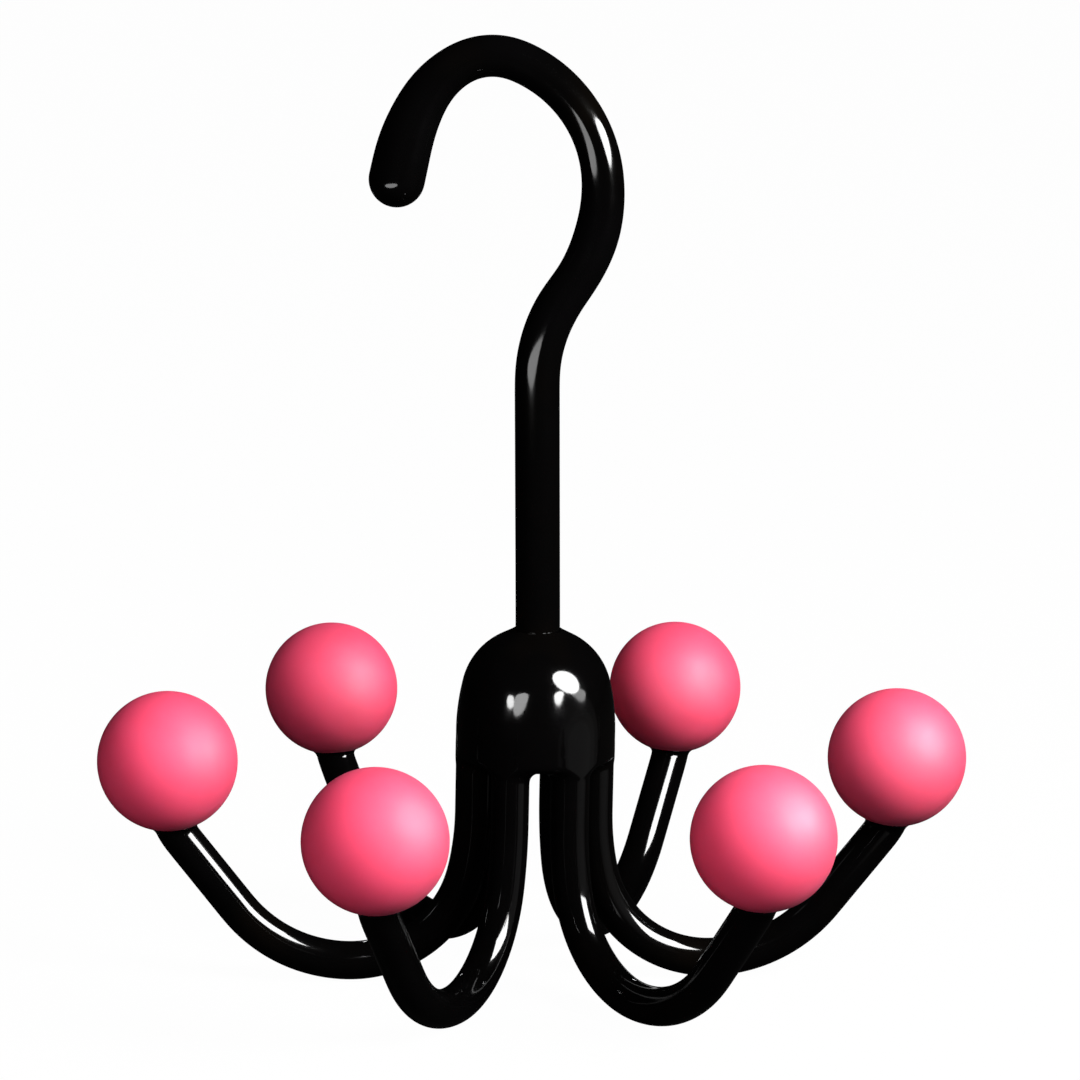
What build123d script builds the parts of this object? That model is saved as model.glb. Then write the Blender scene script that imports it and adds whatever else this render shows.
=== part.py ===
from build123d import *
import os
import math

# Tie hanger: a revolving hook over a hub with six upturned arms that end in balls.
# Millimetres, +Z up. The origin lies on the swivel's axis, level with the lowest
# points of the six arms. The hook lies in the XZ plane with its tip towards -X.

# ---------------------------------------------------------------- driving dimensions
arm_count = 6

# arms, given as radius from the swivel's axis and height
arm_od = 6.88            # coated arm
arm_wire_d = 4.0         # steel inside it
leg_r = 10.75            # the straight legs stand on this circle
bend_0 = (50.5, 13.0)    # gentle start of the bend below the leg: radius and turn
bend_1_r = 20.8          # from there down to the lowest point
bend_2_r = 26.1          # from the lowest point up to the rising stretch
rise_deg = 51.9          # slope of the rising stretch
bend_3_r = 12.0          # from the rising stretch to the upright end in the ball
sleeve_top_z = 33.8      # the coat ends here inside the ball
wire_top_z = 45.5        # the steel ends here inside the ball
socket_top_z = 50.4      # the steel's other end, in the hub

# balls
ball_d = 25.0
ball_ring_r = 65.6
ball_z = 40.4

# hub
hub_bottom_z = 39.8      # underside
stub_z = 36.0            # the hub's short leg sockets end here, flush with the arms' coats
hub_top_z = 64.2
hub_r = 14.25            # the wall runs just outside the legs' outer lines
under_flat_r = 5.6       # the underside is flat to here, then curves up into the wall
under_arc_a = (22.0, 16.0)    # radius and turn in degrees
dome_start_z = 45.3      # the wall starts to lean inwards here
dome_arc_a = (42.1, 13.1)     # radius and turn in degrees
dome_arc_b = (12.2, 50.0)
dome_end_len = 2.5
neck_r = 4.45            # rim round the mouth
chamber_r = 5.0
chamber_top_z = 50.0
bush_bore_r = 3.6
flange_seat_z = 61.0
mouth_r = 4.15           # counterbore that the end of the hook's coat turns in

# swivel
shaft_r = 2.5
shaft_clear = 0.05       # running clearance, radial
bush_flange_t = 0.8
washer_t = 0.6
axial_clear = 0.05
clip_t = 0.8
clip_r = 4.4
groove_r = 2.1
groove_z = 49.0
shaft_end_z = 46.4

# hook centreline above the hub: a chain of straight runs and tangent arcs, each arc
# as (radius, turn in degrees, + towards +X)
hook_base_z = 64.4
hook_kink = (60.0, -1.33)
hook_run_1 = 43.07
hook_bend_1 = (26.14, 37.69)
hook_run_2 = 0.5
hook_bend_2 = (28.63, -40.78)
hook_crook = ((24.54, -64.14), (11.67, -53.88), (17.0, -28.96), (34.98, -17.22))
hook_run_3 = 3.99
# radius of the hook's coat against the length along that centreline
hook_radius = ((0.0, 3.96), (46.0, 3.97), (58.0, 3.98), (63.5, 3.84), (67.0, 3.89),
               (72.5, 4.02), (77.0, 3.90), (82.0, 3.73), (88.0, 3.62), (97.0, 3.58),
               (109.0, 3.66), (118.0, 3.66), (121.0, 3.71), (124.0, 3.84),
               (127.0, 4.05), (130.0, 4.26), (133.0, 4.47), (136.0, 4.70),
               (139.0, 4.87), (142.0, 4.93), (144.1, 4.93))

os.makedirs("parts", exist_ok=True)


def walk(start, heading_deg, steps):
    """Edges of a chain in the XZ plane. Heading is measured from +Z towards +X.
    A step is a length, or (radius, turn)."""
    x, z = start
    h = math.radians(heading_deg)
    edges, marks, s = [], [(0.0, x, z, h)], 0.0
    for step in steps:
        if isinstance(step, (int, float)):
            nx, nz = x + step * math.sin(h), z + step * math.cos(h)
            edges.append(Edge.make_line((x, 0, z), (nx, 0, nz)))
            s += step
        else:
            rad, turn = step[0], math.radians(step[1])
            side = 1.0 if turn > 0 else -1.0
            cx, cz = x + side * rad * math.cos(h), z - side * rad * math.sin(h)

            def at(a):
                return (cx - side * rad * math.cos(h + a), 0,
                        cz + side * rad * math.sin(h + a))
            p0, pm, p1 = at(0.0), at(turn / 2), at(turn)
            edges.append(Edge.make_three_point_arc(p0, pm, p1))
            nx, nz = p1[0], p1[2]
            h += turn
            s += abs(rad * turn)
        x, z = nx, nz
        marks.append((s, x, z, h))
    return edges, marks


def point_on(start, heading_deg, steps, s):
    """Point and heading at the length s along such a chain."""
    x, z = start
    h = math.radians(heading_deg)
    for i, step in enumerate(steps):
        last = i == len(steps) - 1
        if isinstance(step, (int, float)):
            if s <= step or last:
                return x + s * math.sin(h), z + s * math.cos(h), h
            x, z, s = x + step * math.sin(h), z + step * math.cos(h), s - step
        else:
            rad, turn = step[0], math.radians(step[1])
            side = 1.0 if turn > 0 else -1.0
            length = abs(rad * turn)
            a = turn if s > length and not last else side * s / rad
            cx, cz = x + side * rad * math.cos(h), z - side * rad * math.sin(h)
            x, z = cx - side * rad * math.cos(h + a), cz + side * rad * math.sin(h + a)
            h += a
            if s <= length or last:
                return x, z, h
            s -= length
    return x, z, h


def tube(edges, radius):
    """Round bar of one radius along a tangent chain of edges."""
    path = Wire(edges)
    start = edges[0] @ 0
    along = edges[0] % 0
    face = Plane(origin=start, x_dir=(0, 1, 0), z_dir=along) * Circle(radius)
    return sweep(face, path=path)


def coat_radius(s):
    for (s0, r0), (s1, r1) in zip(hook_radius, hook_radius[1:]):
        if s <= s1:
            return r0 + (r1 - r0) * max(0.0, s - s0) / (s1 - s0)
    return hook_radius[-1][1]


def solid_of(shape):
    """The single solid of a result."""
    return shape.solids()[0] if len(shape.solids()) == 1 else shape


def save(shape, node):
    export_step(shape, "parts/%s.step" % node)


# ---------------------------------------------------------------- hook
washer_z = flange_seat_z + bush_flange_t + axial_clear
coat_bottom_z = washer_z + washer_t + axial_clear
hook_steps = [hook_kink, hook_run_1, hook_bend_1, hook_run_2, hook_bend_2,
              *hook_crook, hook_run_3]
rod_start = (0.0, hook_base_z)

# steel: one bar from the end of the shaft to the middle of the tip
wire_edges, _ = walk((0.0, shaft_end_z), 0.0,
                     [hook_base_z - shaft_end_z] + hook_steps)
hook_wire = tube(wire_edges, shaft_r)
groove = Pos(0, 0, groove_z) * extrude(Circle(shaft_r + 1) - Circle(groove_r), clip_t)
hook_wire = hook_wire - groove
nose = Pos(0, 0, shaft_end_z) * extrude(Circle(shaft_r + 1), 0.6)
nose = nose - Pos(0, 0, shaft_end_z + 0.3) * Cone(shaft_r - 0.6, shaft_r, 0.6)
hook_wire = solid_of(hook_wire - nose)

# coat: lofted rings, because its radius changes, closed by a half ball at the tip
s_end = sum(x if isinstance(x, (int, float)) else abs(x[0] * math.radians(x[1]))
            for x in hook_steps)
ring_count = 64
rings = [Plane(origin=(0, 0, coat_bottom_z), x_dir=(0, 1, 0),
               z_dir=(0, 0, 1)) * Circle(hook_radius[0][1])]
for i in range(ring_count + 1):
    s = s_end * i / ring_count
    x, z, h = point_on(rod_start, 0.0, hook_steps, s)
    ring = Plane(origin=(x, 0, z), x_dir=(0, 1, 0),
                 z_dir=(math.sin(h), 0, math.cos(h))) * Circle(coat_radius(s))
    rings.append(ring)
tip_x, tip_z, tip_h = point_on(rod_start, 0.0, hook_steps, s_end)
tip_plane = Plane(origin=(tip_x, 0, tip_z), x_dir=(0, 1, 0),
                  z_dir=(math.sin(tip_h), 0, math.cos(tip_h)))
tip = tip_plane * Sphere(hook_radius[-1][1], arc_size1=0, arc_size2=90,
                         align=(Align.CENTER, Align.CENTER, Align.MIN))
hook_coat_full = loft(rings) + tip
hook_sleeve = solid_of(hook_coat_full - tube(wire_edges, shaft_r))

# ---------------------------------------------------------------- arms
rise = math.radians(rise_deg)
arm_r = arm_od / 2
low_z = arm_r
turn_0 = math.radians(bend_0[1])
leg_end_z = low_z + bend_0[0] * math.sin(turn_0) + bend_1_r * (1 - math.sin(turn_0))
low_x = leg_r + bend_0[0] * (1 - math.cos(turn_0)) + bend_1_r * math.cos(turn_0)
bend_3_dx = bend_3_r * (1 - math.sin(rise))
bend_3_dz = bend_3_r * math.cos(rise)
rise_x0 = low_x + bend_2_r * math.sin(rise)
rise_z0 = low_z + bend_2_r * (1 - math.cos(rise))
rise_len = (ball_ring_r - bend_3_dx - rise_x0) / math.cos(rise)
upright_z = rise_z0 + rise_len * math.sin(rise) + bend_3_dz


def arm_edges(top_z, end_z):
    """Centreline of an arm in the XZ plane from the height top_z in the leg to the
    height end_z in the ball. Heading 180 degrees is straight down, and a left turn
    brings it outwards and up again."""
    steps = [top_z - leg_end_z, (bend_0[0], -bend_0[1]), (bend_1_r, -(90.0 - bend_0[1])),
             (bend_2_r, -rise_deg), rise_len, (bend_3_r, -(90.0 - rise_deg))]
    if end_z > upright_z + 0.05:
        steps.append(end_z - upright_z)
    return walk((leg_r, top_z), 180.0, steps)


arm_wire_edges, arm_wire_marks = arm_edges(socket_top_z, wire_top_z)
arm_coat_edges, arm_coat_marks = arm_edges(stub_z, sleeve_top_z)
arm_wire = tube(arm_wire_edges, arm_wire_d / 2)
arm_coat_full = tube(arm_coat_edges, arm_r)
arm_sleeve = solid_of(arm_coat_full - arm_wire)
arm_wire = solid_of(arm_wire)

# ---------------------------------------------------------------- balls
ball = Pos(ball_ring_r, 0, ball_z) * Sphere(ball_d / 2)
ball = solid_of(ball - arm_coat_full - arm_wire)

# ---------------------------------------------------------------- hub
# a turned bullet: rounded underside, upright wall, two arcs that lean in more and
# more, a short slope
under_turn = math.radians(under_arc_a[1])
under_b_r = ((hub_r - under_flat_r - under_arc_a[0] * math.sin(under_turn))
             / (1 - math.sin(under_turn)))
wall_z = (hub_bottom_z + under_arc_a[0] * (1 - math.cos(under_turn))
          + under_b_r * math.cos(under_turn))
outline, outline_marks = walk((under_flat_r, hub_bottom_z), 90.0,
                              [(under_arc_a[0], -under_arc_a[1]),
                               (under_b_r, under_arc_a[1] - 90.0),
                               dome_start_z - wall_z,
                               (dome_arc_a[0], -dome_arc_a[1]),
                               (dome_arc_b[0], -dome_arc_b[1]), dome_end_len])
_, ox, oz, oh = outline_marks[-1]
hub_profile = Wire([
    Edge.make_line((0, 0, hub_bottom_z), (under_flat_r, 0, hub_bottom_z)),
    *outline,
    Edge.make_line((ox, 0, oz), (neck_r, 0, hub_top_z)),
    Edge.make_line((neck_r, 0, hub_top_z), (0, 0, hub_top_z)),
    Edge.make_line((0, 0, hub_top_z), (0, 0, hub_bottom_z)),
])
hub = Rot(0, 0, 15) * revolve(Face(hub_profile), axis=Axis.Z)
print("hub outline ends at %.3f %.3f" % (ox, oz))
# short sockets that the legs run on from
for k in range(arm_count):
    stub = Pos(leg_r, 0, stub_z) * extrude(Circle(arm_r), dome_start_z - stub_z)
    hub = hub + Rot(0, 0, k * 360 / arm_count) * stub

bores = Pos(0, 0, hub_bottom_z - 1) * extrude(Circle(chamber_r),
                                              chamber_top_z - hub_bottom_z + 1)
bores = bores + Pos(0, 0, chamber_top_z - 1) * extrude(Circle(bush_bore_r),
                                                       flange_seat_z - chamber_top_z + 2)
bores = bores + Pos(0, 0, flange_seat_z) * extrude(Circle(mouth_r),
                                                   hub_top_z - flange_seat_z + 1)
hub = hub - bores
for k in range(arm_count):
    socket = Pos(leg_r, 0, stub_z - 1) * extrude(Circle(arm_wire_d / 2),
                                                 socket_top_z - stub_z + 1)
    hub = hub - Rot(0, 0, k * 360 / arm_count) * socket
hub_crown = solid_of(hub)

# ---------------------------------------------------------------- swivel pieces
bush_r = shaft_r + shaft_clear
swivel_bush = Pos(0, 0, chamber_top_z) * extrude(Circle(bush_bore_r) - Circle(bush_r),
                                                 flange_seat_z - chamber_top_z)
swivel_bush = swivel_bush + Pos(0, 0, flange_seat_z) * extrude(
    Circle(mouth_r - 0.05) - Circle(bush_r), bush_flange_t)
swivel_bush = solid_of(swivel_bush)

thrust_washer = Pos(0, 0, washer_z) * extrude(
    Circle(mouth_r - 0.1) - Circle(shaft_r + 0.1), washer_t)
thrust_washer = solid_of(thrust_washer)

# sprung ring with a mouth and two ear holes, seated in the shaft's groove
clip_sketch = Circle(clip_r) - Circle(groove_r)
clip_sketch = clip_sketch - Pos(clip_r - 0.6, 0) * Rectangle(clip_r + 0.6, 1.6)
for a in (28, -28):
    clip_sketch = clip_sketch - Rot(0, 0, a) * Pos(3.35, 0) * Circle(0.45)
retaining_clip = solid_of(Pos(0, 0, groove_z) * extrude(clip_sketch, clip_t))

plug = extrude(Circle(chamber_r), 3.2)
plug = plug - Pos(0, 0, 1.4) * extrude(Circle(chamber_r - 1.1), 3.0)
plug = chamfer(plug.edges().filter_by(GeomType.CIRCLE).group_by(Axis.Z)[0], 0.4)
hub_plug = solid_of(Pos(0, 0, hub_bottom_z) * plug)

# ---------------------------------------------------------------- write the nodes
save(hook_wire, "hook_wire")
save(hook_sleeve, "hook_sleeve")
save(thrust_washer, "thrust_washer")
save(swivel_bush, "swivel_bush")
save(retaining_clip, "retaining_clip")
save(hub_plug, "hub_plug")
save(hub_crown, "hub_crown")
for k in range(arm_count):
    turn = Rot(0, 0, k * 360 / arm_count)
    save(turn * arm_wire, "arm_wire_%d" % (k + 1))
    save(turn * arm_sleeve, "arm_sleeve_%d" % (k + 1))
    save(turn * ball, "ball_%d" % (k + 1))

# lengths and volumes against section times length
arm_len = arm_wire_marks[-1][0]
print("arm wire length %.1f mm, volume %.1f against %.1f" % (
    arm_len, arm_wire.volume, math.pi * (arm_wire_d / 2) ** 2 * arm_len))
print("arm coat: rise %.2f, upright from z %.2f" % (rise_len, upright_z))
coat_sum, n = 0.0, 2000
for i in range(n):
    coat_sum += math.pi * coat_radius((i + 0.5) * s_end / n) ** 2 * s_end / n
coat_sum += math.pi * hook_radius[0][1] ** 2 * (hook_base_z - coat_bottom_z)
coat_sum += 2 / 3 * math.pi * hook_radius[-1][1] ** 3
print("hook coat filled volume %.1f against %.1f" % (hook_coat_full.volume, coat_sum))
print("hook length above the hub %.1f mm, tip at %.2f %.2f" % (s_end, tip_x, tip_z))
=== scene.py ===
import bpy
import math
import numpy as np
from mathutils import Matrix, Vector


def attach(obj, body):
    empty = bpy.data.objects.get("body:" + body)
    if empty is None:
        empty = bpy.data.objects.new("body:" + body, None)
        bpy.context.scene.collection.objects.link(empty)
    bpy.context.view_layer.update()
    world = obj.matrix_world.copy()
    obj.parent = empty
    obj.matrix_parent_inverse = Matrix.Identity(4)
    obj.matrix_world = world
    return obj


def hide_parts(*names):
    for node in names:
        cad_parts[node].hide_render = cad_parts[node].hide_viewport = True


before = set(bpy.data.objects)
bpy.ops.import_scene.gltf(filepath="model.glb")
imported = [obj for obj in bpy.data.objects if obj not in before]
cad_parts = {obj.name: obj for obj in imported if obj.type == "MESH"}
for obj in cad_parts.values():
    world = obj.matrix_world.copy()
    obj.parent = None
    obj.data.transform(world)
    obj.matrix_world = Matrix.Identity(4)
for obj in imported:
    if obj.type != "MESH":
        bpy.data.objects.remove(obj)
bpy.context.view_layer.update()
MM = 0.001
COL = bpy.context.scene.collection

# ------------------------------------------------------------------ the part's sizes, mm
ARM_R = 3.44
WIRE_R = 2.0
LEG_R = 10.75
STUB_Z = 36.0
RISE_DEG = 51.9
RISE = math.radians(RISE_DEG)
BEND0, BEND0_DEG = 50.5, 13.0
BEND1, BEND2, BEND3 = 20.8, 26.1, 12.0
BALL_R, BALL_RING, BALL_Z = 12.5, 65.6, 40.4
WIRE_TOP = 45.5
HUB_LOW, HUB_TOP = 39.8, 64.2
MOUTH_R = 4.15
SHAFT_R = 2.5
COAT_BOTTOM, HOOK_BASE = 62.5, 64.4


# ------------------------------------------------------------------ centrelines
def walk_points(start, heading_deg, steps, ds=0.25):
    """Points and headings along straight runs and tangent arcs. Heading runs from +Z
    towards +X; a step is a length, or (radius, turn in degrees)."""
    x, z = start
    h = math.radians(heading_deg)
    pts = [(x, z)]
    for step in steps:
        if isinstance(step, (int, float)):
            n = max(1, int(round(step / ds)))
            for i in range(1, n + 1):
                pts.append((x + step * i / n * math.sin(h), z + step * i / n * math.cos(h)))
            x, z = pts[-1]
        else:
            rad, turn = step[0], math.radians(step[1])
            side = 1.0 if turn > 0 else -1.0
            cx, cz = x + side * rad * math.cos(h), z - side * rad * math.sin(h)
            n = max(2, int(round(abs(rad * turn) / ds)))
            for i in range(1, n + 1):
                a = h + turn * i / n
                pts.append((cx - side * rad * math.cos(a), cz + side * rad * math.sin(a)))
            x, z = pts[-1]
            h += turn
    return np.array(pts)


def even(pts, ds):
    d = np.hypot(*np.diff(pts, axis=0).T)
    s = np.r_[0, np.cumsum(d)]
    n = int(round(s[-1] / ds))
    t = np.linspace(0, s[-1], n + 1)
    return np.c_[np.interp(t, s, pts[:, 0]), np.interp(t, s, pts[:, 1])], t


def soften(values, sigma):
    """Gaussian smoothing along a run, with its ends carried on in a straight line."""
    n = int(4 * sigma) + 1
    k = np.exp(-0.5 * (np.arange(-n, n + 1) / sigma) ** 2)
    k /= k.sum()
    v = np.asarray(values, float)
    lead = v[0] - (v[1] - v[0]) * np.arange(n, 0, -1)
    tail = v[-1] + (v[-1] - v[-2]) * np.arange(1, n + 1)
    return np.convolve(np.r_[lead, v, tail], k, mode="valid")


def frames(pts):
    """Unit tangents, and the normals in the plane, of a planar run of points."""
    t = np.gradient(pts, axis=0)
    t /= np.linalg.norm(t, axis=1)[:, None]
    return t, np.c_[t[:, 1], -t[:, 0]]


# ------------------------------------------------------------------ meshes
def new_piece(name, verts, faces, material, body, nodes, sharp=None):
    me = bpy.data.meshes.new(name)
    me.from_pydata((np.asarray(verts) * MM).tolist(), [], faces)
    me.validate()
    for p in me.polygons:
        p.use_smooth = True
    if sharp is not None:
        me.set_sharp_from_angle(angle=math.radians(sharp))
    me.update()
    ob = bpy.data.objects.new(name, me)
    COL.objects.link(ob)
    me.materials.append(material)
    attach(ob, body)
    if nodes:
        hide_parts(*nodes)
    return ob


def ring_faces(n_rings, n_seg, base=0, flip=False):
    f = []
    for i in range(n_rings - 1):
        a, b = base + i * n_seg, base + (i + 1) * n_seg
        for j in range(n_seg):
            k = (j + 1) % n_seg
            q = (a + j, a + k, b + k, b + j)
            f.append(q[::-1] if flip else q)
    return f


def wave(t, a, seed):
    """A slow uneven wobble along a run and round it, at most 1 high."""
    r = np.random.RandomState(seed)
    out = np.zeros(np.broadcast(t, a).shape)
    total = 0.0
    for _ in range(5):
        f, m = r.uniform(0.04, 0.16), r.randint(0, 3)
        p, q, w = r.uniform(0, 6.28), r.uniform(0, 6.28), r.uniform(0.4, 1.0)
        out = out + w * np.sin(f * t * 2 * math.pi / 3 + p) * np.cos(m * a + q)
        total += w
    return out / total


# ------------------------------------------------------------------ materials
def nodes_of(name):
    m = bpy.data.materials.new(name)
    m.use_nodes = True
    nt = m.node_tree
    b = nt.nodes["Principled BSDF"]
    return m, nt, b


def link(nt, a, b):
    nt.links.new(a, b)


def noise(nt, coord, scale, detail=3.0, rough=0.5, stretch=None):
    if stretch is not None:
        mp = nt.nodes.new("ShaderNodeMapping")
        mp.inputs["Scale"].default_value = stretch
        link(nt, coord, mp.inputs["Vector"])
        coord = mp.outputs["Vector"]
    n = nt.nodes.new("ShaderNodeTexNoise")
    n.inputs["Scale"].default_value = scale
    n.inputs["Detail"].default_value = detail
    n.inputs["Roughness"].default_value = rough
    link(nt, coord, n.inputs["Vector"])
    return n.outputs["Fac"]


def ramp(nt, fac, stops):
    r = nt.nodes.new("ShaderNodeValToRGB")
    while len(r.color_ramp.elements) < len(stops):
        r.color_ramp.elements.new(0.5)
    for e, (p, c) in zip(r.color_ramp.elements, stops):
        e.position = p
        e.color = (*c, 1.0) if len(c) == 3 else c
    link(nt, fac, r.inputs["Fac"])
    return r.outputs["Color"]


def spread(nt, fac, lo, hi, out_lo, out_hi):
    m = nt.nodes.new("ShaderNodeMapRange")
    m.inputs["From Min"].default_value = lo
    m.inputs["From Max"].default_value = hi
    m.inputs["To Min"].default_value = out_lo
    m.inputs["To Max"].default_value = out_hi
    link(nt, fac, m.inputs["Value"])
    return m.outputs["Result"]


def bump(nt, height, strength, distance, normal=None):
    b = nt.nodes.new("ShaderNodeBump")
    b.inputs["Strength"].default_value = strength
    b.inputs["Distance"].default_value = distance
    link(nt, height, b.inputs["Height"])
    if normal is not None:
        link(nt, normal, b.inputs["Normal"])
    return b.outputs["Normal"]


def black_coat():
    """Glossy dipped vinyl: near black, with faint warm and cool drifts, a slightly
    uneven gloss and a very fine orange peel."""
    m, nt, b = nodes_of("black_coat")
    co = nt.nodes.new("ShaderNodeTexCoord").outputs["Object"]
    drift = noise(nt, co, 55.0, 2.0)
    link(nt, ramp(nt, drift, [(0.30, (0.0014, 0.0013, 0.0014)), (0.55, (0.0011, 0.0010, 0.0010)),
                              (0.78, (0.0021, 0.0016, 0.0012))]), b.inputs["Base Color"])
    smear = noise(nt, co, 140.0, 4.0, 0.6)
    link(nt, spread(nt, smear, 0.3, 0.7, 0.06, 0.11), b.inputs["Roughness"])
    b.inputs["IOR"].default_value = 1.49
    b.inputs["Specular IOR Level"].default_value = 0.1
    peel = noise(nt, co, 620.0, 2.0, 0.45)
    lumps = noise(nt, co, 120.0, 1.0, 0.4)
    n1 = bump(nt, lumps, 0.3, 0.000012)
    link(nt, bump(nt, peel, 0.3, 0.000003, n1), b.inputs["Normal"])
    return m


def black_plug():
    """Moulded plastic of the plug: a little duller, with fine grain."""
    m, nt, b = nodes_of("black_plug")
    co = nt.nodes.new("ShaderNodeTexCoord").outputs["Object"]
    link(nt, ramp(nt, noise(nt, co, 300.0, 3.0), [(0.3, (0.010, 0.010, 0.011)),
                                                  (0.7, (0.018, 0.017, 0.017))]),
         b.inputs["Base Color"])
    link(nt, spread(nt, noise(nt, co, 900.0, 2.0), 0.3, 0.7, 0.28, 0.42), b.inputs["Roughness"])
    link(nt, bump(nt, noise(nt, co, 2600.0, 2.0), 0.3, 0.00002), b.inputs["Normal"])
    return m


def pink_vinyl():
    """Satin soft vinyl: pink with slow drifts of tone, light scattering under the skin,
    a faint bloom, and a very fine skin texture."""
    m, nt, b = nodes_of("pink_vinyl")
    co = nt.nodes.new("ShaderNodeTexCoord").outputs["Object"]
    tone = noise(nt, co, 70.0, 3.0, 0.55)
    link(nt, ramp(nt, tone, [(0.28, (0.83, 0.047, 0.118)), (0.52, (0.85, 0.052, 0.130)),
                             (0.75, (0.87, 0.059, 0.144))]), b.inputs["Base Color"])
    link(nt, spread(nt, noise(nt, co, 210.0, 4.0, 0.6), 0.3, 0.7, 0.60, 0.68),
         b.inputs["Roughness"])
    b.inputs["IOR"].default_value = 1.50
    b.inputs["Specular IOR Level"].default_value = 0.4
    b.inputs["Subsurface Weight"].default_value = 0.15
    b.inputs["Subsurface Radius"].default_value = (1.0, 0.22, 0.30)
    b.inputs["Subsurface Scale"].default_value = 0.0015
    skin = noise(nt, co, 1500.0, 3.0, 0.5)
    lumps = noise(nt, co, 90.0, 1.0, 0.4)
    n1 = bump(nt, lumps, 0.4, 0.00010)
    link(nt, bump(nt, skin, 0.25, 0.000010, n1), b.inputs["Normal"])
    return m


def drawn_steel(name, dark, light, rough):
    m, nt, b = nodes_of(name)
    co = nt.nodes.new("ShaderNodeTexCoord").outputs["Object"]
    streak = noise(nt, co, 400.0, 4.0, 0.6, stretch=(6.0, 6.0, 0.6))
    link(nt, ramp(nt, streak, [(0.3, dark), (0.7, light)]), b.inputs["Base Color"])
    b.inputs["Metallic"].default_value = 1.0
    link(nt, spread(nt, streak, 0.3, 0.7, rough - 0.06, rough + 0.08), b.inputs["Roughness"])
    link(nt, bump(nt, streak, 0.25, 0.00001), b.inputs["Normal"])
    return m


def turned_brass():
    m, nt, b = nodes_of("turned_brass")
    co = nt.nodes.new("ShaderNodeTexCoord").outputs["Object"]
    lines = noise(nt, co, 500.0, 3.0, 0.5, stretch=(0.3, 0.3, 9.0))
    link(nt, ramp(nt, lines, [(0.3, (0.62, 0.42, 0.17)), (0.7, (0.80, 0.60, 0.30))]),
         b.inputs["Base Color"])
    b.inputs["Metallic"].default_value = 1.0
    link(nt, spread(nt, lines, 0.3, 0.7, 0.20, 0.32), b.inputs["Roughness"])
    link(nt, bump(nt, lines, 0.3, 0.00001), b.inputs["Normal"])
    return m


def natural_nylon():
    m, nt, b = nodes_of("natural_nylon")
    co = nt.nodes.new("ShaderNodeTexCoord").outputs["Object"]
    link(nt, ramp(nt, noise(nt, co, 300.0, 3.0), [(0.3, (0.74, 0.71, 0.63)),
                                                  (0.7, (0.84, 0.82, 0.76))]),
         b.inputs["Base Color"])
    link(nt, spread(nt, noise(nt, co, 900.0, 3.0), 0.3, 0.7, 0.38, 0.5), b.inputs["Roughness"])
    b.inputs["Subsurface Weight"].default_value = 0.2
    b.inputs["Subsurface Scale"].default_value = 0.001
    link(nt, bump(nt, noise(nt, co, 2200.0, 2.0), 0.3, 0.00001), b.inputs["Normal"])
    return m


BLACK = black_coat()
PLUG = black_plug()
PINK = pink_vinyl()
STEEL = drawn_steel("drawn_steel", (0.42, 0.42, 0.43), (0.62, 0.62, 0.63), 0.28)
SPRING = drawn_steel("spring_steel", (0.20, 0.20, 0.22), (0.34, 0.34, 0.36), 0.34)
BRASS = turned_brass()
NYLON = natural_nylon()


# ------------------------------------------------------------------ hook coat
HOOK_STEPS = [(60.0, -1.33), 43.07, (26.14, 37.69), 0.5, (28.63, -40.78),
              (24.54, -64.14), (11.67, -53.88), (17.0, -28.96), (34.98, -17.22), 3.99]
HOOK_RADIUS = ((0.0, 3.96), (46.0, 3.97), (58.0, 3.98), (63.5, 3.84), (67.0, 3.89),
               (72.5, 4.02), (77.0, 3.90), (82.0, 3.73), (88.0, 3.62), (97.0, 3.58),
               (109.0, 3.66), (118.0, 3.66), (121.0, 3.71), (124.0, 3.84),
               (127.0, 4.05), (130.0, 4.26), (133.0, 4.47), (136.0, 4.70),
               (139.0, 4.87), (142.0, 4.93), (144.1, 4.93))


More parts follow.
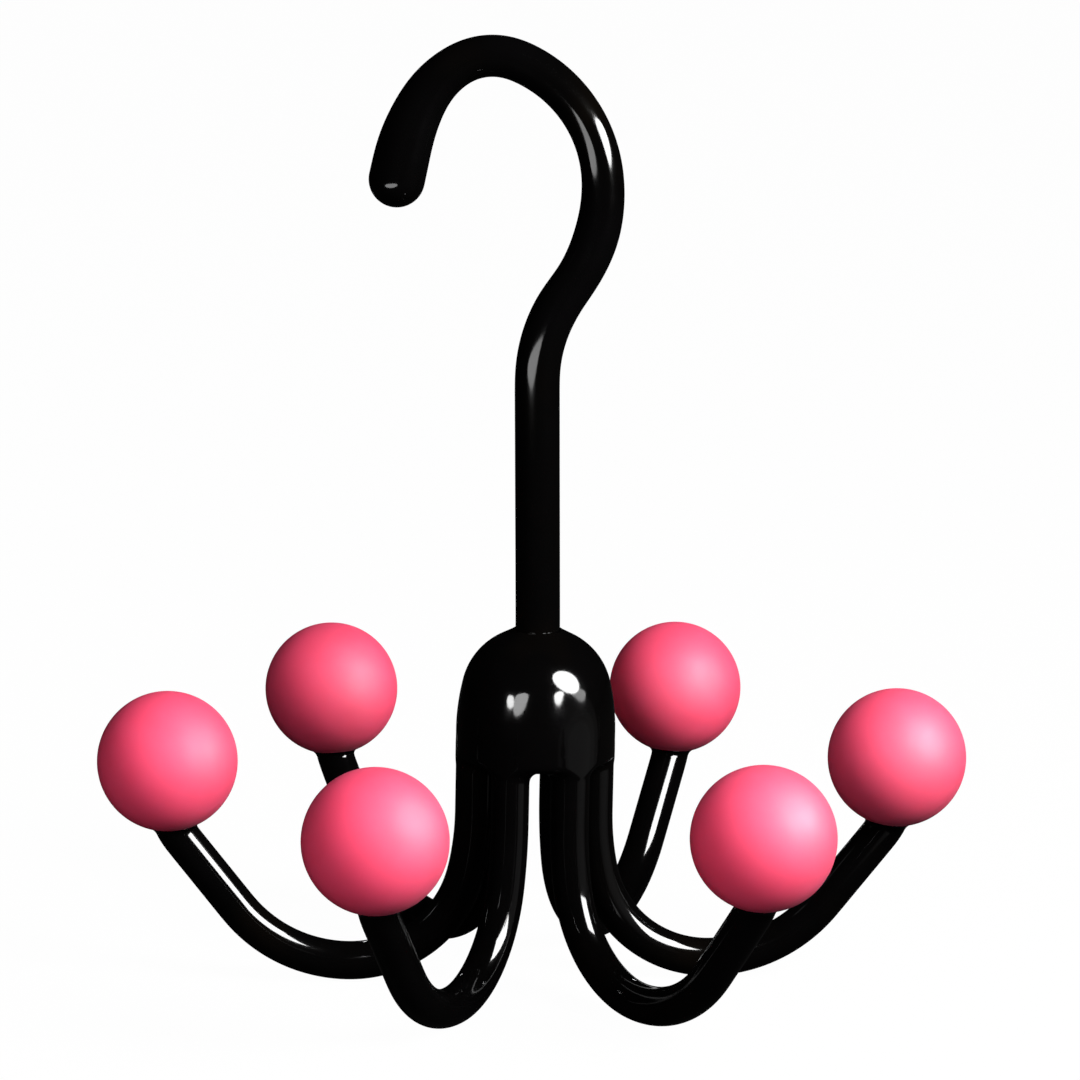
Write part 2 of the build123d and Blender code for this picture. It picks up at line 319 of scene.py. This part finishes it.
def hook_coat():
    lead = HOOK_BASE - COAT_BOTTOM
    pts, s = even(walk_points((0.0, COAT_BOTTOM), 0.0, [lead] + HOOK_STEPS), 0.45)
    step = s[1] - s[0]
    pts = np.c_[soften(pts[:, 0], 1.6 / step), soften(pts[:, 1], 1.6 / step)]
    law = np.array(HOOK_RADIUS)
    rad = soften(np.interp(s - lead, law[:, 0], law[:, 1]), 1.8 / step)
    rad = np.minimum(rad, 4.93)
    t, n = frames(pts)
    seg = 72
    ang = np.linspace(0, 2 * math.pi, seg, endpoint=False)
    # the uneven skin of a dipped coat, which dies out at the hub end and at the tip
    amp = 0.010 * np.clip((s - 3.0) / 12.0, 0, 1) * np.clip((s[-1] - s) / 14.0, 0.15, 1)
    rings = []

    def ring(c, nn, r, wob=0.0):
        rr = r + wob
        x = c[0] + nn[0] * np.cos(ang) * rr
        z = c[1] + nn[1] * np.cos(ang) * rr
        y = np.sin(ang) * rr
        return np.c_[x, y, z]

    # rounded lower lip
    for a in (0.0, 30.0, 60.0):
        a = math.radians(a)
        rings.append(ring((0, COAT_BOTTOM + 0.35 * (1 - math.sin(a))), (1, 0),
                          rad[0] - 0.35 * (1 - math.cos(a))))
    rings = rings[::-1]
    first = int(np.searchsorted(s, 0.6))
    for i in range(first, len(s)):
        w = amp[i] * wave(s[i], ang, 11)
        rings.append(ring(pts[i], n[i], rad[i] - 0.004 if i > len(s) - 8 else rad[i], w))
    rad[-1] -= 0.004
    # round tip: the wobble of the last ring dies out over it
    w_end = amp[-1] * wave(s[-1], ang, 11)
    for k in range(1, 15):
        a = math.radians(90 * k / 15)
        c = pts[-1] + t[-1] * rad[-1] * math.sin(a)
        rings.append(ring(c, n[-1], rad[-1] * math.cos(a), w_end * math.cos(a) ** 2))
    outer = len(rings)
    tip = pts[-1] + t[-1] * rad[-1]
    # bore for the steel, from the lip to the middle of the tip
    bore_ids = list(range(0, len(s), 4))
    if bore_ids[-1] != len(s) - 1:
        bore_ids.append(len(s) - 1)
    for i in bore_ids:
        rings.append(ring(pts[i], n[i], SHAFT_R))
    verts = np.vstack(rings + [np.array([[tip[0], 0, tip[1]]]),
                               np.array([[pts[-1][0], 0, pts[-1][1]]])])
    f = ring_faces(outer, seg)
    b0 = outer * seg
    f += ring_faces(len(bore_ids), seg, b0, flip=True)
    for j in range(seg):
        k = (j + 1) % seg
        f.append((j, b0 + j, b0 + k, k))                       # lower annulus
        f.append(((outer - 1) * seg + j, (outer - 1) * seg + k, len(verts) - 2))
        e = b0 + (len(bore_ids) - 1) * seg
        f.append((e + k, e + j, len(verts) - 1))
    return new_piece("hook_coat", verts, f, BLACK, "hook", ["hook_sleeve"], sharp=50)


# ------------------------------------------------------------------ arms and balls
def arm_centre():
    t0 = math.radians(BEND0_DEG)
    leg_end = ARM_R + BEND0 * math.sin(t0) + BEND1 * (1 - math.sin(t0))
    low_x = LEG_R + BEND0 * (1 - math.cos(t0)) + BEND1 * math.cos(t0)
    rise_x0 = low_x + BEND2 * math.sin(RISE)
    rise_len = (BALL_RING - BEND3 * (1 - math.sin(RISE)) - rise_x0) / math.cos(RISE)
    steps = [STUB_Z - leg_end, (BEND0, -BEND0_DEG), (BEND1, -(90.0 - BEND0_DEG)),
             (BEND2, -RISE_DEG), rise_len, (BEND3, -(90.0 - RISE_DEG))]
    return walk_points((LEG_R, STUB_Z), 180.0, steps, 0.1)


def turn_z(v, deg):
    a = math.radians(deg)
    c, s = math.cos(a), math.sin(a)
    v = np.asarray(v)
    return np.c_[v[:, 0] * c - v[:, 1] * s, v[:, 0] * s + v[:, 1] * c, v[:, 2]]


ARM_PTS, ARM_S = even(arm_centre(), 0.4)
_st = ARM_S[1] - ARM_S[0]
ARM_PTS = np.c_[soften(ARM_PTS[:, 0], 1.0 / _st), soften(ARM_PTS[:, 1], 1.0 / _st)]
ARM_PTS[:, 1] += np.clip(ARM_R - ARM_PTS[:, 1].min(), None, 0)
ARM_T, ARM_N = frames(ARM_PTS)
BALL_C = np.array([BALL_RING, BALL_Z])
SKIN_R = BALL_R - 0.03                       # the ball's skin where the arm goes in


def on_arm(s, ang, r):
    """Points on a round bar of radius r about the arm's centreline, at the lengths s."""
    x, z = np.interp(s, ARM_S, ARM_PTS[:, 0]), np.interp(s, ARM_S, ARM_PTS[:, 1])
    nx, nz = np.interp(s, ARM_S, ARM_N[:, 0]), np.interp(s, ARM_S, ARM_N[:, 1])
    return np.c_[x + nx * np.cos(ang) * r, np.sin(ang) * r, z + nz * np.cos(ang) * r]


def meet_ball(ang, r, gap):
    """For each angle, the length at which the bar of radius r is gap away from the ball."""
    lo, hi = np.full(ang.shape, ARM_S[-1] * 0.75), np.full(ang.shape, ARM_S[-1])
    for _ in range(40):
        mid = (lo + hi) / 2
        p = on_arm(mid, ang, r)
        far = np.sqrt((p[:, 0] - BALL_C[0]) ** 2 + p[:, 1] ** 2 + (p[:, 2] - BALL_C[1]) ** 2)
        out = far > SKIN_R + gap
        lo, hi = np.where(out, mid, lo), np.where(out, hi, mid)
    return (lo + hi) / 2


def arm_coat(k):
    seg = 64
    ang = np.linspace(0, 2 * math.pi, seg, endpoint=False)
    s = ARM_S
    flare = 0.9                              # the coat's fillet against the ball
    s_flare = meet_ball(ang, ARM_R, flare)
    s_near = s_flare.min() - 3.0
    # small wobble of the coat; none where it meets the hub or the ball, nor over the
    # lowest stretch
    amp = 0.008 * np.clip((s - 1.0) / 8.0, 0, 1) * np.clip((s_near - s) / 8.0, 0, 1)
    amp = amp * np.clip((ARM_PTS[:, 1] - 3.6) / 3.0, 0, 1)
    rings = []
    for i in range(len(s)):
        if s[i] > s_near:
            break
        rings.append(on_arm(np.full(seg, s[i]), ang,
                            ARM_R + amp[i] * wave(s[i] * 1.3, ang, 100 + k)))
    # the rings lean over to lie along the ball, then flare out against its skin
    s_last = s[i - 1]
    for u in np.linspace(0, 1, 13)[1:]:
        rings.append(on_arm(s_last + (s_flare - s_last) * u, ang, ARM_R))
    for a in (15, 30, 42, 52, 61, 68, 74, 78.5):
        a = math.radians(a)
        r = ARM_R + flare * (1 - math.cos(a))
        rings.append(on_arm(meet_ball(ang, r, flare * (1 - math.sin(a))), ang, r))
    rings.append(on_arm(meet_ball(ang, r - 0.04, 0.006), ang, r - 0.04))
    s_in = meet_ball(ang, ARM_R, 0.006)
    for u in np.linspace(0, 1, 7):
        rings.append(on_arm(s_in + (ARM_S[-1] - s_in) * u, ang, ARM_R))
    outer = len(rings)
    ids = list(range(0, len(s), 5))
    if ids[-1] != len(s) - 1:
        ids.append(len(s) - 1)
    for i in ids:
        rings.append(np.c_[ARM_PTS[i, 0] + ARM_N[i, 0] * np.cos(ang) * WIRE_R,
                           np.sin(ang) * WIRE_R,
                           ARM_PTS[i, 1] + ARM_N[i, 1] * np.cos(ang) * WIRE_R])
    verts = np.vstack(rings)
    f = ring_faces(outer, seg)
    b0 = outer * seg
    f += ring_faces(len(ids), seg, b0, flip=True)
    e_out, e_in = (outer - 1) * seg, b0 + (len(ids) - 1) * seg
    for j in range(seg):
        m = (j + 1) % seg
        f.append((j, b0 + j, b0 + m, m))
        f.append((e_out + m, e_in + m, e_in + j, e_out + j))
    verts = turn_z(verts, 60 * (k - 1))
    return new_piece("arm_coat_%d" % k, verts, f, BLACK, "hanger_frame", ["arm_sleeve_%d" % k],
                     sharp=50)


def ball(k):
    """A ball moulded round the arm's end. Its skin, a hair out of true as moulded vinyl
    is, runs on to the rim round the arm, and the cavity follows the coat and the wire."""
    c = BALL_C
    seg = 96
    ang = np.linspace(0, 2 * math.pi, seg, endpoint=False)
    hole = ARM_R + 0.01
    s_rim = meet_ball(ang, hole, 0.0)
    rim = on_arm(s_rim, ang, hole)
    e = rim.mean(axis=0)[[0, 2]]
    d = (e - c) / np.linalg.norm(e - c)            # from the centre to the arm's entry
    n = np.array([-d[1], d[0]])
    if np.dot(n, ARM_N[int(len(ARM_N) * 0.97)]) < 0:
        n = -n
    rnd = np.random.RandomState(40 + k)
    lobes = [(rnd.randint(1, 4), rnd.uniform(0, 6.28), rnd.uniform(1.0, 3.0),
              rnd.uniform(0, 6.28), rnd.uniform(0.5, 1.0)) for _ in range(5)]

    def skin(theta):
        w = np.zeros(seg)
        for m, p, q, u, a in lobes:
            w += a * np.cos(m * ang + p) * np.sin(q * theta + u)
        return SKIN_R + 0.03 * math.sin(theta) ** 2 * w / 5.0 * min(1.0, max(0.0, theta - 0.45))

    def sphere_ring(theta):
        r = skin(theta)
        out = np.cos(theta) * r
        side = np.sin(theta) * r
        x = c[0] + d[0] * out + n[0] * np.cos(ang) * side
        z = c[1] + d[1] * out + n[1] * np.cos(ang) * side
        return np.c_[x, np.sin(ang) * side, z]

    rings = []
    th0 = math.radians(30.0)
    for i in range(1, 61):
        th = math.pi - (math.pi - th0) * i / 60
        rings.append(sphere_ring(th))
    # over the sphere to the rim
    mid = np.array([c[0], 0.0, c[1]])
    s0 = rings[-1] - mid
    for u in np.linspace(0, 1, 9)[1:]:
        q = s0 * (1 - u) + (rim - mid) * u
        rings.append(mid + q / np.linalg.norm(q, axis=1)[:, None] * SKIN_R)
    # cavity along the coat, then along the wire
    last = len(ARM_S) - 1
    for u in np.linspace(0, 1, 7)[1:]:
        rings.append(on_arm(s_rim + (ARM_S[-1] - s_rim) * u, ang, hole))
    for zz in (ARM_PTS[last, 1], WIRE_TOP):
        rings.append(np.c_[BALL_RING + ARM_N[last, 0] * np.cos(ang) * (WIRE_R + 0.005),
                           np.sin(ang) * (WIRE_R + 0.005), np.full(seg, zz)])
    pole = c - d * skin(math.pi)[0]
    verts = np.vstack(rings + [np.array([[pole[0], 0, pole[1]], [BALL_RING, 0, WIRE_TOP]])])
    f = ring_faces(len(rings), seg, flip=False)
    for j in range(seg):
        m = (j + 1) % seg
        f.append((m, j, len(verts) - 2))
        e0 = (len(rings) - 1) * seg
        f.append((e0 + j, e0 + m, len(verts) - 1))
    verts = turn_z(verts, 60 * (k - 1))
    return new_piece("vinyl_ball_%d" % k, verts, f, PINK, "hanger_frame", ["ball_%d" % k],
                     sharp=60)


# ------------------------------------------------------------------ hub
def chain_of(start, heading_deg, steps):
    """Straight runs as (p0, p1) and arcs as (centre, radius, middle angle, half range)."""
    x, z = start
    h = math.radians(heading_deg)
    out = []
    for step in steps:
        if isinstance(step, (int, float)):
            nx, nz = x + step * math.sin(h), z + step * math.cos(h)
            out.append(("line", (x, z), (nx, nz)))
        else:
            rad, turn = step[0], math.radians(step[1])
            side = 1.0 if turn > 0 else -1.0
            cx, cz = x + side * rad * math.cos(h), z - side * rad * math.sin(h)
            nx, nz = cx - side * rad * math.cos(h + turn), cz + side * rad * math.sin(h + turn)
            mx = cx - side * rad * math.cos(h + turn / 2)
            mz = cz + side * rad * math.sin(h + turn / 2)
            out.append(("arc", (cx, cz), rad, ((mx - cx) / rad, (mz - cz) / rad),
                        math.cos(abs(turn) / 2)))
            h += turn
        x, z = nx, nz
    return out, (x, z)


def chain_dist(px, pz, chain):
    """Distance to a chain of straight runs and arcs."""
    best = np.full(px.shape, 1e9)
    for piece in chain:
        if piece[0] == "line":
            (x0, z0), (x1, z1) = piece[1:]
            dx, dz = x1 - x0, z1 - z0
            u = np.clip(((px - x0) * dx + (pz - z0) * dz) / (dx * dx + dz * dz), 0, 1)
            d = np.hypot(px - x0 - u * dx, pz - z0 - u * dz)
        else:
            (cx, cz), rad, (mx, mz), ch = piece[1:]
            dx, dz = px - cx, pz - cz
            L = np.hypot(dx, dz)
            d = np.where(dx * mx + dz * mz >= ch * L - 1e-9, np.abs(L - rad), 1e9)
        best = np.minimum(best, d)
    return best


def smin(a, b, k):
    h = np.clip(0.5 + 0.5 * (b - a) / k, 0, 1)
    return b * (1 - h) + a * h - k * h * (1 - h)


def smax(a, b, k):
    return -smin(-a, -b, k)


HUB_R, DOME_Z = 14.25, 45.3
UNDER_R, UNDER_A, UNDER_B = 5.6, (22.0, -12.0), 1.6
_ut = math.radians(-UNDER_A[1])
_run = (HUB_R - UNDER_R - UNDER_A[0] * math.sin(_ut) - UNDER_B * (1 - math.sin(_ut))) / math.cos(_ut)
WALL_Z = (HUB_LOW + UNDER_A[0] * (1 - math.cos(_ut)) + _run * math.sin(_ut)
          + UNDER_B * math.cos(_ut))
SHELL_STEPS = [UNDER_A, _run, (UNDER_B, -90.0 - UNDER_A[1]), DOME_Z - WALL_Z,
               (42.1, -13.1), (12.2, -50.0), 2.5]
SHELL, _end = chain_of((UNDER_R, HUB_LOW), 90.0, SHELL_STEPS)
_rim = (4.45, HUB_TOP)
SHELL = [("line", (-1.0, HUB_LOW), (UNDER_R, HUB_LOW)), *SHELL,
         ("line", _end, _rim), ("line", _rim, (-1.0, HUB_TOP))]
SHELL_POLY = np.vstack([[[-1.0, HUB_LOW]], walk_points((UNDER_R, HUB_LOW), 90.0, SHELL_STEPS, 0.1),
                        [_rim, [-1.0, HUB_TOP], [-1.0, HUB_LOW]]])


def inside_poly(px, pz, poly):
    inside = np.zeros(px.shape, bool)
    for (x0, z0), (x1, z1) in zip(poly[:-1], poly[1:]):
        if z0 == z1:
            continue
        hit = ((z0 > pz) != (z1 > pz)) & (px < (x1 - x0) * (pz - z0) / (z1 - z0) + x0)
        inside ^= hit
    return inside


def hub_outer(x, y, z):
    """Signed distance of the hub's outside: a turned bullet on six short sockets, with
    the coat drawn into a fillet where they leave its underside."""
    r = np.hypot(x, y)
    a = np.arctan2(y, x)
    d = chain_dist(r, z, SHELL)
    f = np.where(inside_poly(r, z, SHELL_POLY), -d, d)
    sector = np.round(a / (math.pi / 3)) * (math.pi / 3)
    legs = None
    for off in (0, -1, 1):
        t = a - sector - off * math.pi / 3
        u, v = r * np.cos(t), r * np.sin(t)
        leg = np.hypot(u - LEG_R, v) - ARM_R
        legs = leg if legs is None else np.minimum(legs, leg)
    legs = np.maximum(legs, z - WALL_Z)
    k = 2.0 * np.clip((z - STUB_Z) / 2.0, 0.02, 1)
    return smax(smin(f, legs, k), r - HUB_R, 0.1)


def hub_field(x, y, z):
    f = hub_outer(x, y, z)
    r = np.hypot(x, y)
    f = np.maximum(f, -np.maximum(r - MOUTH_R, 61.0 - z))       # mouth
    f = np.maximum(f, -np.maximum(r - 3.6, 49.0 - z))           # bush bore
    f = smax(f, -np.maximum(r - 5.0, z - 50.0), 0.2)            # chamber
    a = np.arctan2(y, x)
    t = a - np.round(a / (math.pi / 3)) * (math.pi / 3)
    w = np.hypot(r * np.cos(t) - LEG_R, r * np.sin(t))
    f = np.maximum(f, -np.maximum(w - WIRE_R, z - 50.4))        # wire sockets
    return np.maximum(f, STUB_Z - z)


def surface_nets(field, lo, hi, h):
    n = [int(math.ceil((b - a) / h)) + 1 for a, b in zip(lo, hi)]
    ax = [a + h * np.arange(k) for a, k in zip(lo, n)]
    F = np.empty(n)
    for i in range(n[0]):
        Y, Z = np.meshgrid(ax[1], ax[2], indexing="ij")
        F[i] = field(np.full(Y.shape, ax[0][i]), Y, Z)
    S = F < 0
    cells = np.zeros([k - 1 for k in n], np.int8)
    corner = [(a, b, c) for a in (0, 1) for b in (0, 1) for c in (0, 1)]
    for a, b, c in corner:
        cells += S[a:n[0] - 1 + a, b:n[1] - 1 + b, c:n[2] - 1 + c]
    act = np.argwhere((cells > 0) & (cells < 8))
    idx = -np.ones(cells.shape, np.int64)
    idx[tuple(act.T)] = np.arange(len(act))
    pos = np.zeros((len(act), 3))
    cnt = np.zeros(len(act))
    for p in corner:
        for axis in range(3):
            if p[axis]:
                continue
            q = list(p)
            q[axis] = 1
            f0 = F[act[:, 0] + p[0], act[:, 1] + p[1], act[:, 2] + p[2]]
            f1 = F[act[:, 0] + q[0], act[:, 1] + q[1], act[:, 2] + q[2]]
            cross = (f0 < 0) != (f1 < 0)
            u = np.where(cross, f0 / np.where(cross, f0 - f1, 1), 0)
            pt = np.tile(np.array(p, float), (len(act), 1))
            pt[:, axis] += u
            pos[cross] += pt[cross]
            cnt += cross
    verts = (act + pos / cnt[:, None]) * h + np.array(lo)
    faces = []
    for axis in range(3):
        o1, o2 = [i for i in range(3) if i != axis]
        sl = [slice(None)] * 3
        sl0, sl1 = list(sl), list(sl)
        sl0[axis], sl1[axis] = slice(0, n[axis] - 1), slice(1, n[axis])
        change = S[tuple(sl0)] != S[tuple(sl1)]
        e = np.argwhere(change)
        e = e[(e[:, o1] > 0) & (e[:, o2] > 0) & (e[:, o1] < n[o1] - 1) & (e[:, o2] < n[o2] - 1)]
        first = S[tuple(e.T)]
        quad = []
        for da, db in ((-1, -1), (0, -1), (0, 0), (-1, 0)):
            c = e.copy()
            c[:, o1] += da
            c[:, o2] += db
            quad.append(idx[tuple(c.T)])
        quad = np.stack(quad, 1)
        flip = first if axis != 1 else ~first
        quad[~flip] = quad[~flip][:, ::-1]
        faces.append(quad)
    faces = np.vstack(faces)
    return verts, faces[(faces >= 0).all(1)]


def pull(field, v, steps=4, eps=0.02):
    """Moves points onto the surface along its gradient."""
    for _ in range(steps):
        x, y, z = v.T
        f = field(x, y, z)
        g = np.stack([field(x + eps, y, z) - field(x - eps, y, z),
                      field(x, y + eps, z) - field(x, y - eps, z),
                      field(x, y, z + eps) - field(x, y, z - eps)], 1) / (2 * eps)
        g2 = (g * g).sum(1)
        m = np.clip(f / np.maximum(g2, 0.25), -0.3, 0.3)
        v = v - g * m[:, None]
    return v


def hub_shell():
    h = 0.27
    lo, hi = (-14.6, -14.6, STUB_Z - 0.8), (14.6, 14.6, HUB_TOP + 0.8)
    v, f = surface_nets(hub_field, lo, hi, h)
    v = pull(hub_field, v)
    # crisp rims where the leg sockets end
    a = np.arctan2(v[:, 1], v[:, 0])
    t0 = np.round(a / (math.pi / 3)) * (math.pi / 3)
    cx, cy = LEG_R * np.cos(t0), LEG_R * np.sin(t0)
    for rr in (ARM_R, WIRE_R):
        w = np.hypot(v[:, 0] - cx, v[:, 1] - cy)
        rim = (np.abs(v[:, 2] - STUB_Z) < 0.55 * h) & (np.abs(w - rr) < 0.55 * h)
        v[rim, 0] = cx[rim] + (v[rim, 0] - cx[rim]) * rr / w[rim]
        v[rim, 1] = cy[rim] + (v[rim, 1] - cy[rim]) * rr / w[rim]
        v[rim, 2] = STUB_Z
    # and at the mouth
    w = np.hypot(v[:, 0], v[:, 1])
    for rr in (MOUTH_R, 4.45):
        rim = (v[:, 2] > HUB_TOP - 0.6 * h) & (np.abs(w - rr) < 0.5 * h)
        v[rim, 0] *= rr / w[rim]
        v[rim, 1] *= rr / w[rim]
        v[rim, 2] = HUB_TOP
        w = np.hypot(v[:, 0], v[:, 1])
    return new_piece("hub_shell", v, f.tolist(), BLACK, "hanger_frame", ["hub_crown"],
                     sharp=24)


hook = hook_coat()
hub = hub_shell()
for k in range(1, 7):
    arm_coat(k)
    ball(k)

# CAD pieces that keep their shape and get their finish here
for name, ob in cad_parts.items():
    mat = None
    if name.startswith("arm_wire") or name == "hook_wire":
        mat = STEEL
    elif name == "retaining_clip":
        mat = SPRING
    elif name == "swivel_bush":
        mat = BRASS
    elif name == "thrust_washer":
        mat = NYLON
    elif name == "hub_plug":
        mat = PLUG
    elif name == "hub_crown" or "sleeve" in name:
        mat = BLACK
    elif name.startswith("ball"):
        mat = PINK
    if mat is not None:
        ob.data.materials.clear()
        ob.data.materials.append(mat)

# ------------------------------------------------------------------ camera
PHI, ELEV, ROLL = math.radians(6.27), math.radians(11.26), math.radians(-1.2)
DIST_PX, PX = 4990.0, 0.1773 * MM
right = Vector((math.cos(PHI), -math.sin(PHI), 0.0))
away = Vector((math.sin(PHI), math.cos(PHI), 0.0))
up_w = Vector((0.0, 0.0, 1.0))
back = -away * math.cos(ELEV) + up_w * math.sin(ELEV)
up = away * math.sin(ELEV) + up_w * math.cos(ELEV)
target = right * (0.4 * PX) + up_w * (453.4 * PX)
cam_x = right * math.cos(ROLL) - up * math.sin(ROLL)
cam_y = right * math.sin(ROLL) + up * math.cos(ROLL)
cd = bpy.data.cameras.new("camera")
cam = bpy.data.objects.new("camera", cd)
COL.objects.link(cam)
cam.matrix_world = Matrix((
    (cam_x.x, cam_y.x, back.x, target.x + back.x * DIST_PX * PX),
    (cam_x.y, cam_y.y, back.y, target.y + back.y * DIST_PX * PX),
    (cam_x.z, cam_y.z, back.z, target.z + back.z * DIST_PX * PX),
    (0, 0, 0, 1)))
cd.sensor_width = 36.0
cd.lens = DIST_PX / 1080.0 * 36.0
cd.clip_start, cd.clip_end = 0.02, 60.0
bpy.context.scene.camera = cam


# ------------------------------------------------------------------ light and floor
def view_dir(r, u, b):
    """A direction given as right, up and towards the viewer, in the photo's view."""
    return (right * r + up * u + back * b).normalized()


def softbox(name, at, size, power, aim=Vector((0, 0, 0.08)), colour=(1, 1, 1), twist=0.0,
            shape="RECTANGLE"):
    ld = bpy.data.lights.new(name, "AREA")
    ld.shape = shape
    ld.size, ld.size_y = size
    ld.energy = power
    ld.color = colour
    lo = bpy.data.objects.new(name, ld)
    COL.objects.link(lo)
    z = (at - aim).normalized()
    x = up_w.cross(z).normalized()
    y = z.cross(x)
    if twist:
        x, y = x * math.cos(twist) + y * math.sin(twist), y * math.cos(twist) - x * math.sin(twist)
    lo.matrix_world = Matrix(((x.x, y.x, z.x, at.x), (x.y, y.y, z.y, at.y),
                              (x.z, y.z, z.z, at.z), (0, 0, 0, 1)))
    return lo


def at_view(r, u, b):
    """A point given as metres right, up and towards the viewer, in the photo's view."""
    return right * r + up * u + back * b


def along(point, azimuth, elevation, far):
    """A place at a horizontal distance from a point of the view. Azimuth runs from the
    viewer's side towards the right; elevation is above the horizon; all but the angles
    in metres."""
    a, t = math.radians(azimuth), math.tan(math.radians(elevation))
    ahead = Vector((back.x, back.y, 0.0)).normalized()
    return at_view(*point) + (right * math.sin(a) + ahead * math.cos(a) + up_w * t) * far


def lit_by(lamp, pieces):
    """Lets a lamp reach only these pieces."""
    group = bpy.data.collections.new(lamp.name + "_reaches")
    for ob in pieces:
        group.objects.link(ob)
    lamp.light_linking.receiver_collection = group


# broad soft lights for the matt shading, and small bright panels for the gloss
centre = Vector((0, 0, 0.075))
broad = softbox("broad_light", centre + view_dir(0.65, 0.46, 0.61) * 0.90, (0.45, 0.45), 15.6)
front = softbox("front_fill", centre + view_dir(-0.25, 0.05, 0.97) * 0.90, (0.60, 0.60), 4.0)
for lamp in (broad, front):
    lamp.visible_glossy = False
hub_at, hook_at = (0.004, 0.052, 0.022), (0.0098, 0.149, 0.032)
left_at, stripe_at = (-0.003, 0.050, 0.023), (0.0072, 0.1465, 0.031)
shine = 135.0                       # radiance of the brightest panels


def panel(name, at, size, radiance, aim, reach, twist=0.0, shape="ELLIPSE",
          colour=(1, 1, 1)):
    area = size[0] * size[1] * (math.pi / 4 if shape == "ELLIPSE" else 1.0)
    lamp = softbox(name, at, size, radiance * math.pi * area, aim, colour, math.radians(twist),
                   shape)
    lamp.visible_diffuse = False
    lamp.visible_camera = False
    lit_by(lamp, reach)
    return lamp


solid = [ob for ob in bpy.data.objects if ob.type == "MESH" and ob is not hook]
balls = [ob for ob in solid if ob.name.startswith(("vinyl_ball", "ball"))]
coats = [ob for ob in solid if ob not in balls]
arms = [ob for ob in coats if ob is not hub]
for ob in balls:
    ob.visible_glossy = False
hub_spot, hook_spot = at_view(*hub_at), at_view(*hook_at)
left_spot, stripe_spot = at_view(*left_at), at_view(*stripe_at)
mid = Vector((0, 0, 0.08))
panel("hub_panel", at_view(0.252, 0.206, 0.226), (0.285, 0.205), shine, hub_spot, [hub], -47.5)
panel("hub_panel_low", at_view(0.168, 0.0764, 0.259), (0.084, 0.060), shine, hub_spot, [hub], 25.0)
panel("hub_panel_end", at_view(0.269, 0.092, 0.135), (0.15, 0.060), 26.0, hub_spot, [hub], -20.0)
panel("hub_strip", at_view(-0.2015, 0.053, 0.4916), (0.215, 0.118), 40.0, left_spot, [hub], 28.0)
panel("hub_strip_end", at_view(-0.323, 0.052, 0.416), (0.100, 0.062), 110.0, left_spot, [hub])
panel("arm_panel", at_view(0.216, 0.166, 0.168), (0.155, 0.20), shine, mid, arms,
      shape="RECTANGLE")
for step, wide in enumerate(((0.15, 0.10), (0.115, 0.075), (0.08, 0.05))):
    panel("low_card_%d" % step, along((0.0, 0.044, 0.020), 68.0, -12.0, 0.112 + 0.001 * step), wide,
          0.2, hub_spot, coats)
panel("hook_panel", at_view(0.229, 0.1685, 0.1585), (0.20, 0.066), shine, hook_spot, [hook], 19.0)
panel("hook_card", along(stripe_at, -33.0, -19.6, 0.13), (0.112, 0.034), 24.0, stripe_spot, [hook])
panel("ball_panel", at_view(0.232, 0.160, 0.154), (0.18, 0.20), 52.0, mid, balls)
panel("ball_sheen", centre + view_dir(0.50, 0.45, 0.74) * 0.38, (0.90, 0.90), 5.6, mid, balls,
      colour=(0.72, 0.74, 1.0))

floor_me = bpy.data.meshes.new("floor")
floor_me.from_pydata([(-6, -6, -0.00025), (6, -6, -0.00025), (6, 6, -0.00025), (-6, 6, -0.00025)],
                     [], [(0, 1, 2, 3)])
floor = bpy.data.objects.new("floor", floor_me)
COL.objects.link(floor)
fm, fnt, fb = nodes_of("pale_floor")
fb.inputs["Base Color"].default_value = (0.8, 0.8, 0.8, 1)
fb.inputs["Roughness"].default_value = 0.9
fb.inputs["Specular IOR Level"].default_value = 0.0
em = fnt.nodes.new("ShaderNodeEmission")
em.inputs["Color"].default_value = (1, 1, 1, 1)
em.inputs["Strength"].default_value = 1.0
dark = fnt.nodes.new("ShaderNodeBsdfDiffuse")
dark.inputs["Color"].default_value = (0.012, 0.012, 0.012, 1)
mix1 = fnt.nodes.new("ShaderNodeMixShader")
mix1.inputs["Fac"].default_value = 0.985
link(fnt, fb.outputs[0], mix1.inputs[1])
link(fnt, em.outputs[0], mix1.inputs[2])
lp = fnt.nodes.new("ShaderNodeLightPath")
mix2 = fnt.nodes.new("ShaderNodeMixShader")
link(fnt, lp.outputs["Is Camera Ray"], mix2.inputs["Fac"])
link(fnt, dark.outputs[0], mix2.inputs[1])
link(fnt, mix1.outputs[0], mix2.inputs[2])
link(fnt, mix2.outputs[0], fnt.nodes["Material Output"].inputs["Surface"])
floor_me.materials.append(fm)

world = bpy.data.worlds.new("studio")
bpy.context.scene.world = world
world.use_nodes = True
wnt = world.node_tree
bg = wnt.nodes["Background"]
bg.inputs["Color"].default_value = (0.003, 0.003, 0.003, 1)
bg.inputs["Strength"].default_value = 1.0
bg2 = wnt.nodes.new("ShaderNodeBackground")
bg2.inputs["Color"].default_value = (1, 1, 1, 1)
wlp = wnt.nodes.new("ShaderNodeLightPath")
wmix = wnt.nodes.new("ShaderNodeMixShader")
link(wnt, wlp.outputs["Is Camera Ray"], wmix.inputs["Fac"])
link(wnt, bg.outputs[0], wmix.inputs[1])
link(wnt, bg2.outputs[0], wmix.inputs[2])
link(wnt, wmix.outputs[0], wnt.nodes["World Output"].inputs["Surface"])

bpy.context.scene.view_settings.view_transform = "Standard"
bpy.context.scene.view_settings.look = "None"
